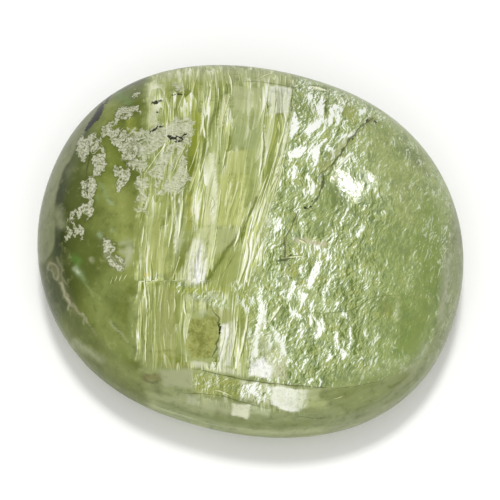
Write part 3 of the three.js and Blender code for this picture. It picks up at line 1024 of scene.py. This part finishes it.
# How strongly the silk shows: less in its calm panes, where it is crumbled, round the lump and on the steep
# flank, and faintly again in the skirt
CRUMBLED = (4.5, 3, (178, 288), (200, 294), (224, 304))
HALF_CRUMBLED = (7, 5, (238, 288), (250, 310))
LUMP_GROUND = (16, 3, (205, 326), (201, 350))
SKIRT_SILK = (4, (192, 372), (306, 388), (306, 415), (190, 404))
crumbled = np.maximum(blot(*CRUMBLED), 0.8 * blot(*HALF_CRUMBLED))
silk_show = in_silk * above_skirt * (1 - 0.25 * above_rim_line) * (1 - calm) * smooth((facing - 0.05) / 0.3)
silk_show = silk_show * (1 - 0.95 * blot(*LUMP_GROUND)) * (1 - 0.8 * crumbled)
silk_show = silk_show + 0.25 * pane(*SKIRT_SILK)

# How strongly the foil shows: it fades to the right and, by the share before half width, softness and path,
# at three places. It returns where the skirt is shattered or flecked and the silk is crumbled
FOIL_FADES = (
    (0.25, 18, 14, (372, 135), (410, 180)),
    (0.75, 12, 12, (345, 386), (385, 374), (425, 345)),
    (0.6, 9, 14, (398, 122), (430, 165), (446, 215)),
)
FOIL_FADE_START, FOIL_FADE_END = 345, 420  # pixels across
SHATTERED = (10, 3, (248, 391), (262, 393))
FLECKED = (10, 4, (202, 381), (230, 388))
SPARSE = (9, 4, (285, 396), (298, 401))
shattered = blot(*SHATTERED)
foil_fade = smooth((across - FOIL_FADE_START) / (FOIL_FADE_END - FOIL_FADE_START))
foil_show = in_foil * above_skirt * (1 - 0.42 * foil_fade) * (1 - 0.8 * in_rim)
foil_show = foil_show * (1 - calm) * smooth((facing - 0.15) / 0.35)
for share, *form in FOIL_FADES:
    foil_show = foil_show * (1 - share * blot(*form))
foil_show = foil_show + shattered + 0.55 * blot(*FLECKED) * (1 - shattered) + 0.4 * blot(*SPARSE)
foil_show = np.maximum(foil_show, 0.8 * crumbled)

# Where the grain is lighter or darker than the rest: by how much, half width, softness, path
LIFTS = (
    (0.10, 12, 10, (212, 160), (204, 210), (200, 250)),
    (0.12, 10, 8, (278, 130), (268, 190), (252, 250)),
    (0.12, 16, 12, (310, 105), (318, 150)),
    (-0.10, 9, 9, (174, 92), (195, 100)),
    (0.16, 7, 5, (155, 90), (157, 102)),
    (0.07, 5, 5, (168, 76), (228, 72), (264, 77)),
    (-0.22, 4, 4, (274, 166), (263, 194), (252, 216), (238, 240), (223, 256), (211, 275)),
    (-0.16, 3, 4, (200, 224), (186, 248), (170, 278)),
    (-0.12, 14, 14, (330, 195), (322, 225)),
    (-0.10, 20, 20, (400, 230), (410, 320)),
    (-0.14, 8, 6, (196, 128), (190, 165)),
    (0.16, 9, 3, (249, 391), (261, 393)),
    (0.12, 10, 4, (285, 396), (298, 401)),
    (-0.06, 8, 8, (300, 170), (302, 195)),
    (-0.05, 22, 20, (384, 150), (400, 230), (400, 320)),
    (-0.06, 22, 24, (366, 235), (366, 330)),
    (-0.05, 6, 10, (296, 345), (330, 366)),
    (-0.10, 6, 8, (286, 374), (312, 376), (346, 372)),
)
# The grain is lifted towards white in the clear panes, their painted reflection
lift = 0.36 * smooth(clear_shine_depth / 3 + 0.5)
for raised, *form in LIFTS:
    lift = lift + raised * blot(*form)

# The mesh, with the dome and flank shaded smooth and the base flat
mesh = bpy.data.meshes.new("opal")
corners = np.concatenate([squares.ravel(), bands.ravel(), fan.ravel()])
sizes = np.concatenate([np.full(len(squares) + len(bands), 4), np.full(len(fan), 3)])
mesh.vertices.add(len(points))
mesh.vertices.foreach_set("co", (points * MM).ravel())
mesh.loops.add(len(corners))
mesh.loops.foreach_set("vertex_index", corners)
mesh.polygons.add(len(sizes))
mesh.polygons.foreach_set("loop_start", np.append(0, np.cumsum(sizes)[:-1]))
mesh.polygons.foreach_set("use_smooth", np.arange(len(sizes)) < len(squares))
mesh.update(calc_edges=True)
mesh.validate()

# What the material reads at each point. Sides are cut at 5 half widths from a mark, and depths at 9 pixels
steep = smooth((0.35 - facing) / 0.3)
numbers = {
    "silk_show": silk_show,
    "foil_show": foil_show,
    "lift": lift,
    "lump": 0.6 * olive_lump * upper,
    "skirt": np.maximum(below_skirt * (1 - shattered), steep) * (1 - calm),
    "mottle": 1 - 0.85 * calm,
    "veil": veil * upper,
    "skin_depth": np.where(upper > 0.5, skin_depth, -9).clip(-9, 9),
    "black_depth": np.where(upper > 0.5, black_depth, -9).clip(-9, 9),
    "crack_side": crack_side.clip(-5, 5),
    "crack_near": np.clip(4.5 - crack_gap, 0, 1) * upper * np.clip(0.3 + 0.45 * crack_width, 0, 0.8),
}
for layer, (side, gap, _, width) in enumerate(threads):
    numbers[f"thread_side_{layer}"] = side.clip(-5, 5)
    numbers[f"thread_near_{layer}"] = np.clip(4.5 - gap, 0, 1) * upper * np.clip(width + 0.15, 0, 1)
places = {
    "silk": np.stack([silk_across, plan_y, points[:, 2]], axis=-1),
    "foil": np.stack([crumple_across, crumple_along, points[:, 2]], axis=-1),
}
for name, values in numbers.items():
    mesh.attributes.new(name, "FLOAT", "POINT").data.foreach_set("value", values.astype(np.float32))
for name, values in places.items():
    vectors = values.astype(np.float32).ravel()
    mesh.attributes.new(name, "FLOAT_VECTOR", "POINT").data.foreach_set("vector", vectors)
body_rgba = np.concatenate([body, np.ones((len(body), 1))], axis=1).astype(np.float32).ravel()
mesh.attributes.new("body", "FLOAT_COLOR", "POINT").data.foreach_set("color", body_rgba)

# Polished common opal: a hard clear gloss over silky, pearly and matt inclusions. Its patterns' sizes, in mm,
# run across, along and into the silk or the foil, or along X, Y and Z
stone, shader = new_material("polished common opal")
SILK_LAYERS = (((0.60, 6.5, 3.0), 0.26, 0.05), ((0.10, 1.8, 1.5), 0.28, 0.09))  # size, share, shade
FOIL_LAYERS = (((0.80, 1.2, 1.0), 0.20, 0.04), ((0.19, 0.33, 0.3), 0.20, 0.06))
SILK_FOLDS = (  # size, levels, power, share
    ((1.3, 9.0, 6.0), 8.0, 1.6, 0.34),
    ((0.28, 4.2, 3.0), 6.0, 3.0, 0.30),
)
FOIL_RELIEFS = (  # size, shift, share
    ((0.46, 0.85, 0.5), (0.13, -0.02, 0.0), 0.8),
    ((0.18, 0.30, 0.3), (0.055, 0.0, 0.0), 0.95),
    ((0.09, 0.17, 0.2), (0.03, 0.0, 0.0), 1.1),
)
CLOUD_SIZE = (2.0,) * 3
RAGGED_SIZE = (1 / 2.6,) * 3
SPECKLE_SIZE = (1 / 11,) * 3
WARP_SIZE = (1 / 1.3,) * 3
WHORL_SIZE = (0.7,) * 3
STREAK_SIZE = (1 / 0.32, 1 / 0.32, 1 / 1.9)
HATCH_SIZE = (1 / 6, 1 / 12, 1 / 9)
PATCH_SIZE = (0.75, 2.6, 2.0)
FIBRE_SIZE = (0.07, 0.9, 1.0)
WARP = (0.45, 0.45, 0.0)  # how far the warp shifts the foil's crumples
PIT_DEPTH = 0.03

attributes = {
    name: add_node(stone, "ShaderNodeAttribute", {"attribute_name": name})
    for name in ("body", *places, *numbers)
}
field = {name: attributes[name].outputs["Fac"] for name in numbers}
silk_place = attributes["silk"].outputs["Vector"]
foil_place = attributes["foil"].outputs["Vector"]
object_place = add_node(stone, "ShaderNodeTexCoord").outputs["Object"]
in_mm = add_node(stone, "ShaderNodeVectorMath", {"operation": "SCALE"}, _0=object_place, Scale=1 / MM)
place = in_mm.outputs[0]


def mixed(start, *parts):
    """A sum of patterns on top of a first one, each times a share, which may be a pattern too."""
    times_plus = {"operation": "MULTIPLY_ADD"}
    for pattern, share in parts:
        start = add_node(stone, "ShaderNodeMath", times_plus, _0=pattern, _1=share, _2=start).outputs[0]
    return start


def lumps(place, size, detail, roughness, output="Fac"):
    """Soft lumps with a size in mm along each direction of a place, from 0 to 1 and mostly near 0.5."""
    scaled = add_node(stone, "ShaderNodeVectorMath", {"operation": "DIVIDE"}, _0=place, _1=size).outputs[0]
    soft = add_node(stone, "ShaderNodeTexNoise", Vector=scaled, Scale=1.0, Detail=detail, Roughness=roughness)
    return soft.outputs[output]


def grain(place, layers):
    """Tone of crowded long cells about 0, from layers of (size, share, shade): each cell has a random tone by
    its layer's share, and goes from dark to light across its width by its layer's shade: painted light and
    shade, as if it were lit from one side."""
    tone = field["lift"]
    dot = {"operation": "DOT_PRODUCT"}
    for size, share, shade in layers:
        spot = add_node(stone, "ShaderNodeVectorMath", {"operation": "DIVIDE"}, _0=place, _1=size).outputs[0]
        cell = add_node(stone, "ShaderNodeTexVoronoi", Vector=spot, Scale=1.0)
        middle = cell.outputs["Position"]
        aside = add_node(stone, "ShaderNodeVectorMath", {"operation": "SUBTRACT"}, _0=spot, _1=middle)
        slope = add_node(stone, "ShaderNodeVectorMath", dot, _0=aside.outputs[0], _1=(shade, 0, 0))
        tone = mixed(-share / 2, (cell.outputs["Color"], share), (slope.outputs["Value"], 1.0), (tone, 1.0))
    return tone


def folds(place, size, levels, power):
    """Steps from 0 to 1 along the contours of soft lumps: crowded edges, each bright on one side, and the
    narrower there the higher the power."""
    levelled = mixed(0.0, (lumps(place, size, 2.0, 0.5), levels))
    step = add_node(stone, "ShaderNodeMath", {"operation": "FRACT"}, _0=levelled).outputs[0]
    return add_node(stone, "ShaderNodeMath", {"operation": "POWER"}, _0=step, _1=power).outputs[0]


def relief(place, size, shift):
    """Painted light and shade about 0 on soft lumps: their fall over a shift in mm."""
    moved = add_node(stone, "ShaderNodeVectorMath", _0=place, _1=shift).outputs[0]
    return mixed(lumps(place, size, 2.0, 0.55), (lumps(moved, size, 2.0, 0.55), -1.0))


def gap_to(side, line=0.0):
    """Distance across a mark from a line that runs along it, both in half widths from its middle."""
    beside = mixed(-line, (side, 1.0))
    return add_node(stone, "ShaderNodeMath", {"operation": "ABSOLUTE"}, _0=beside).outputs[0]


def lay(under, hex_colour, pattern, start, end, amount=1.0):
    """Lays a colour over another one where a pattern goes from start to end, up to an amount."""
    evenly = {"interpolation_type": "SMOOTHSTEP"}
    weight = add_node(stone, "ShaderNodeMapRange", evenly, _0=pattern, _1=start, _2=end, _4=amount).outputs[0]
    over = paint(hex_colour)
    return add_node(stone, "ShaderNodeMix", {"data_type": "RGBA"}, _0=weight, _6=under, _7=over).outputs[2]


clouds = lumps(place, CLOUD_SIZE, 5.0, 0.6)
ragged = lumps(place, RAGGED_SIZE, 4.0, 0.65)
speckle = lumps(place, SPECKLE_SIZE, 2.0, 0.6)

# The clear body: soft clouds, darker and paler
colour = attributes["body"].outputs["Color"]
colour = lay(colour, DARK_OLIVE, clouds, 0.5, 0.3, mixed(0.0, (field["mottle"], 0.45)))
colour = lay(colour, STRAW, clouds, 0.54, 0.75, mixed(0.0, (field["mottle"], 0.2)))
colour = lay(colour, DARK_OLIVE, ragged, 0.5, 0.3, mixed(0.0, (field["mottle"], 0.4)))
colour = lay(colour, STRAW, ragged, 0.54, 0.8, mixed(0.0, (field["mottle"], 0.3)))

# The flank and skirt: long level streaks
streaks = lumps(place, STREAK_SIZE, 3.0, 0.6)
streak_amount = mixed(0.0, (field["skirt"], 0.42))
colour = lay(colour, "6F7A3E", streaks, 0.48, 0.34, streak_amount)
colour = lay(colour, "C5CB9C", streaks, 0.54, 0.70, streak_amount)

# Silk: dark gaps, straw planes and white crests, stronger in some patches than in others. The gaps and
# crests are partly painted shade and sheen on its stepped fibres.
silk_folds = [(folds(silk_place, *form), share) for *form, share in SILK_FOLDS]
silk_tone = mixed(grain(silk_place, SILK_LAYERS), *silk_folds)
patches = lumps(silk_place, PATCH_SIZE, 1.0, 0.5)
patched = add_node(stone, "ShaderNodeMapRange", _0=patches, _1=0.40, _2=0.58, _3=0.3, _4=1.0).outputs[0]
silk_field = mixed(0.0, (patched, field["silk_show"]))
colour = lay(colour, "6F7B22", silk_tone, 0.19, 0.02, silk_field)
colour = lay(colour, "D3DA90", silk_tone, 0.20, 0.33, silk_field)
colour = lay(colour, "FBFCEE", silk_tone, 0.37, 0.44, silk_field)

# Foil: small crumples whose light, shade and white glints are painted, some yellower and some greyer
warp = lumps(foil_place, WARP_SIZE, 2.0, 0.5, "Color")
times_plus = {"operation": "MULTIPLY_ADD"}
warped = add_node(stone, "ShaderNodeVectorMath", times_plus, _0=warp, _1=WARP, _2=foil_place).outputs[0]
foil_reliefs = [(relief(warped, size, shift), share) for size, shift, share in FOIL_RELIEFS]
foil_tone = mixed(grain(warped, FOIL_LAYERS), *foil_reliefs)
foil_field = field["foil_show"]
foil_hue = mixed(0.0, (foil_field, 0.5))
colour = lay(colour, "A9AE5A", ragged, 0.52, 0.64, foil_hue)
colour = lay(colour, "8A9C78", ragged, 0.48, 0.36, foil_hue)
colour = lay(colour, "687A3E", foil_tone, -0.08, -0.27, foil_field)
colour = lay(colour, "C5D3A4", foil_tone, 0.03, 0.13, foil_field)
colour = lay(colour, "FBFDF4", foil_tone, 0.15, 0.22, foil_field)

# Bright threads: frayed, white in the middle, partly a painted sheen, with painted shade along one side
fibres = lumps(silk_place, FIBRE_SIZE, 2.0, 0.6)
for layer in range(THREAD_LAYERS):
    side = field[f"thread_side_{layer}"]
    near = field[f"thread_near_{layer}"]
    frayed = mixed(gap_to(side), (fibres, 4.0))
    colour = lay(colour, "6F7A38", gap_to(side, 2.0), 1.4, 0.5, mixed(0.0, (near, 0.8)))
    colour = lay(colour, "DFE3A6", frayed, 3.5, 2.5, near)
    colour = lay(colour, "F8F9E8", frayed, 2.8, 1.8, mixed(0.0, (near, near)))

# The mossy lump
moss = mixed(ragged, (speckle, 0.8))
colour = lay(colour, "747A30", moss, 0.95, 0.7, field["lump"])
colour = lay(colour, "AEB06A", moss, 0.92, 1.1, field["lump"])

# The veil: a ragged edge, a fine pale and dark hatching, and curled dark lines
hatched = lumps(place, HATCH_SIZE, 3.0, 0.7)
whorls = folds(foil_place, WHORL_SIZE, 8.0, 1.0)
veil_edge = mixed(0.0, (field["veil"], 1.15), (ragged, 1.6), (whorls, -0.42))
veil_amount = add_node(stone, "ShaderNodeMapRange", _0=veil_edge, _1=1.32, _2=1.54, _4=0.8).outputs[0]
whorl_amount = add_node(stone, "ShaderNodeMapRange", _0=veil_edge, _1=1.36, _2=1.52, _4=0.25).outputs[0]
colour = lay(colour, "C8CAAF", veil_edge, 1.28, 1.56, 0.72)
colour = lay(colour, "D6D7BE", hatched, 0.52, 0.61, veil_amount)
colour = lay(colour, "7D8349", hatched, 0.46, 0.35, veil_amount)
colour = lay(colour, "7B8245", whorls, 0.76, 0.97, whorl_amount)

# The matt skin: a dark ragged edge round a pale patch, speckled white and dark
skin_edge = mixed(field["skin_depth"], (ragged, 8.0), (whorls, -2.2), (speckle, 2.6))
skin_amount = add_node(stone, "ShaderNodeMapRange", _0=skin_edge, _1=3.1, _2=4.1, _4=0.8).outputs[0]
colour = lay(colour, "555D2A", skin_edge, 1.2, 2.5, 0.5)
colour = lay(colour, "B9BB9C", skin_edge, 2.9, 3.9, 0.88)
colour = lay(colour, "D6D7C0", speckle, 0.50, 0.60, skin_amount)
colour = lay(colour, "6A713C", speckle, 0.47, 0.37, skin_amount)

# Fissures and black mineral
fissure = mixed(gap_to(field["crack_side"]), (ragged, 3.6))
colour = lay(colour, "454B20", fissure, 3.3, 2.3, field["crack_near"])
colour = lay(colour, "15170F", mixed(field["black_depth"], (speckle, 5.0)), 2.4, 3.0, 0.95)

# The polish: a clear coat, faintly pitted and more so over the foil
pitting = add_node(stone, "ShaderNodeMapRange", _0=foil_field, _1=0.0, _2=1.0, _3=0.08, _4=0.42).outputs[0]
pits = mixed(ragged, (clouds, 2.5))
polish = add_node(stone, "ShaderNodeBump", Height=pits, Strength=pitting, Distance=PIT_DEPTH * MM)
stone.node_tree.links.new(colour, shader.inputs["Base Color"])
stone.node_tree.links.new(polish.outputs["Normal"], shader.inputs["Coat Normal"])
shader.inputs["Roughness"].default_value = 0.5
shader.inputs["IOR"].default_value = 1.45
shader.inputs["Specular IOR Level"].default_value = 0.06
shader.inputs["Coat Weight"].default_value = 0.4
shader.inputs["Coat Roughness"].default_value = 0.07
shader.inputs["Coat IOR"].default_value = 1.45
mesh.materials.append(stone)

opal = bpy.data.objects.new("opal", mesh)
bpy.context.scene.collection.objects.link(opal)
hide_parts("opal_cabochon")
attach(opal, "root")
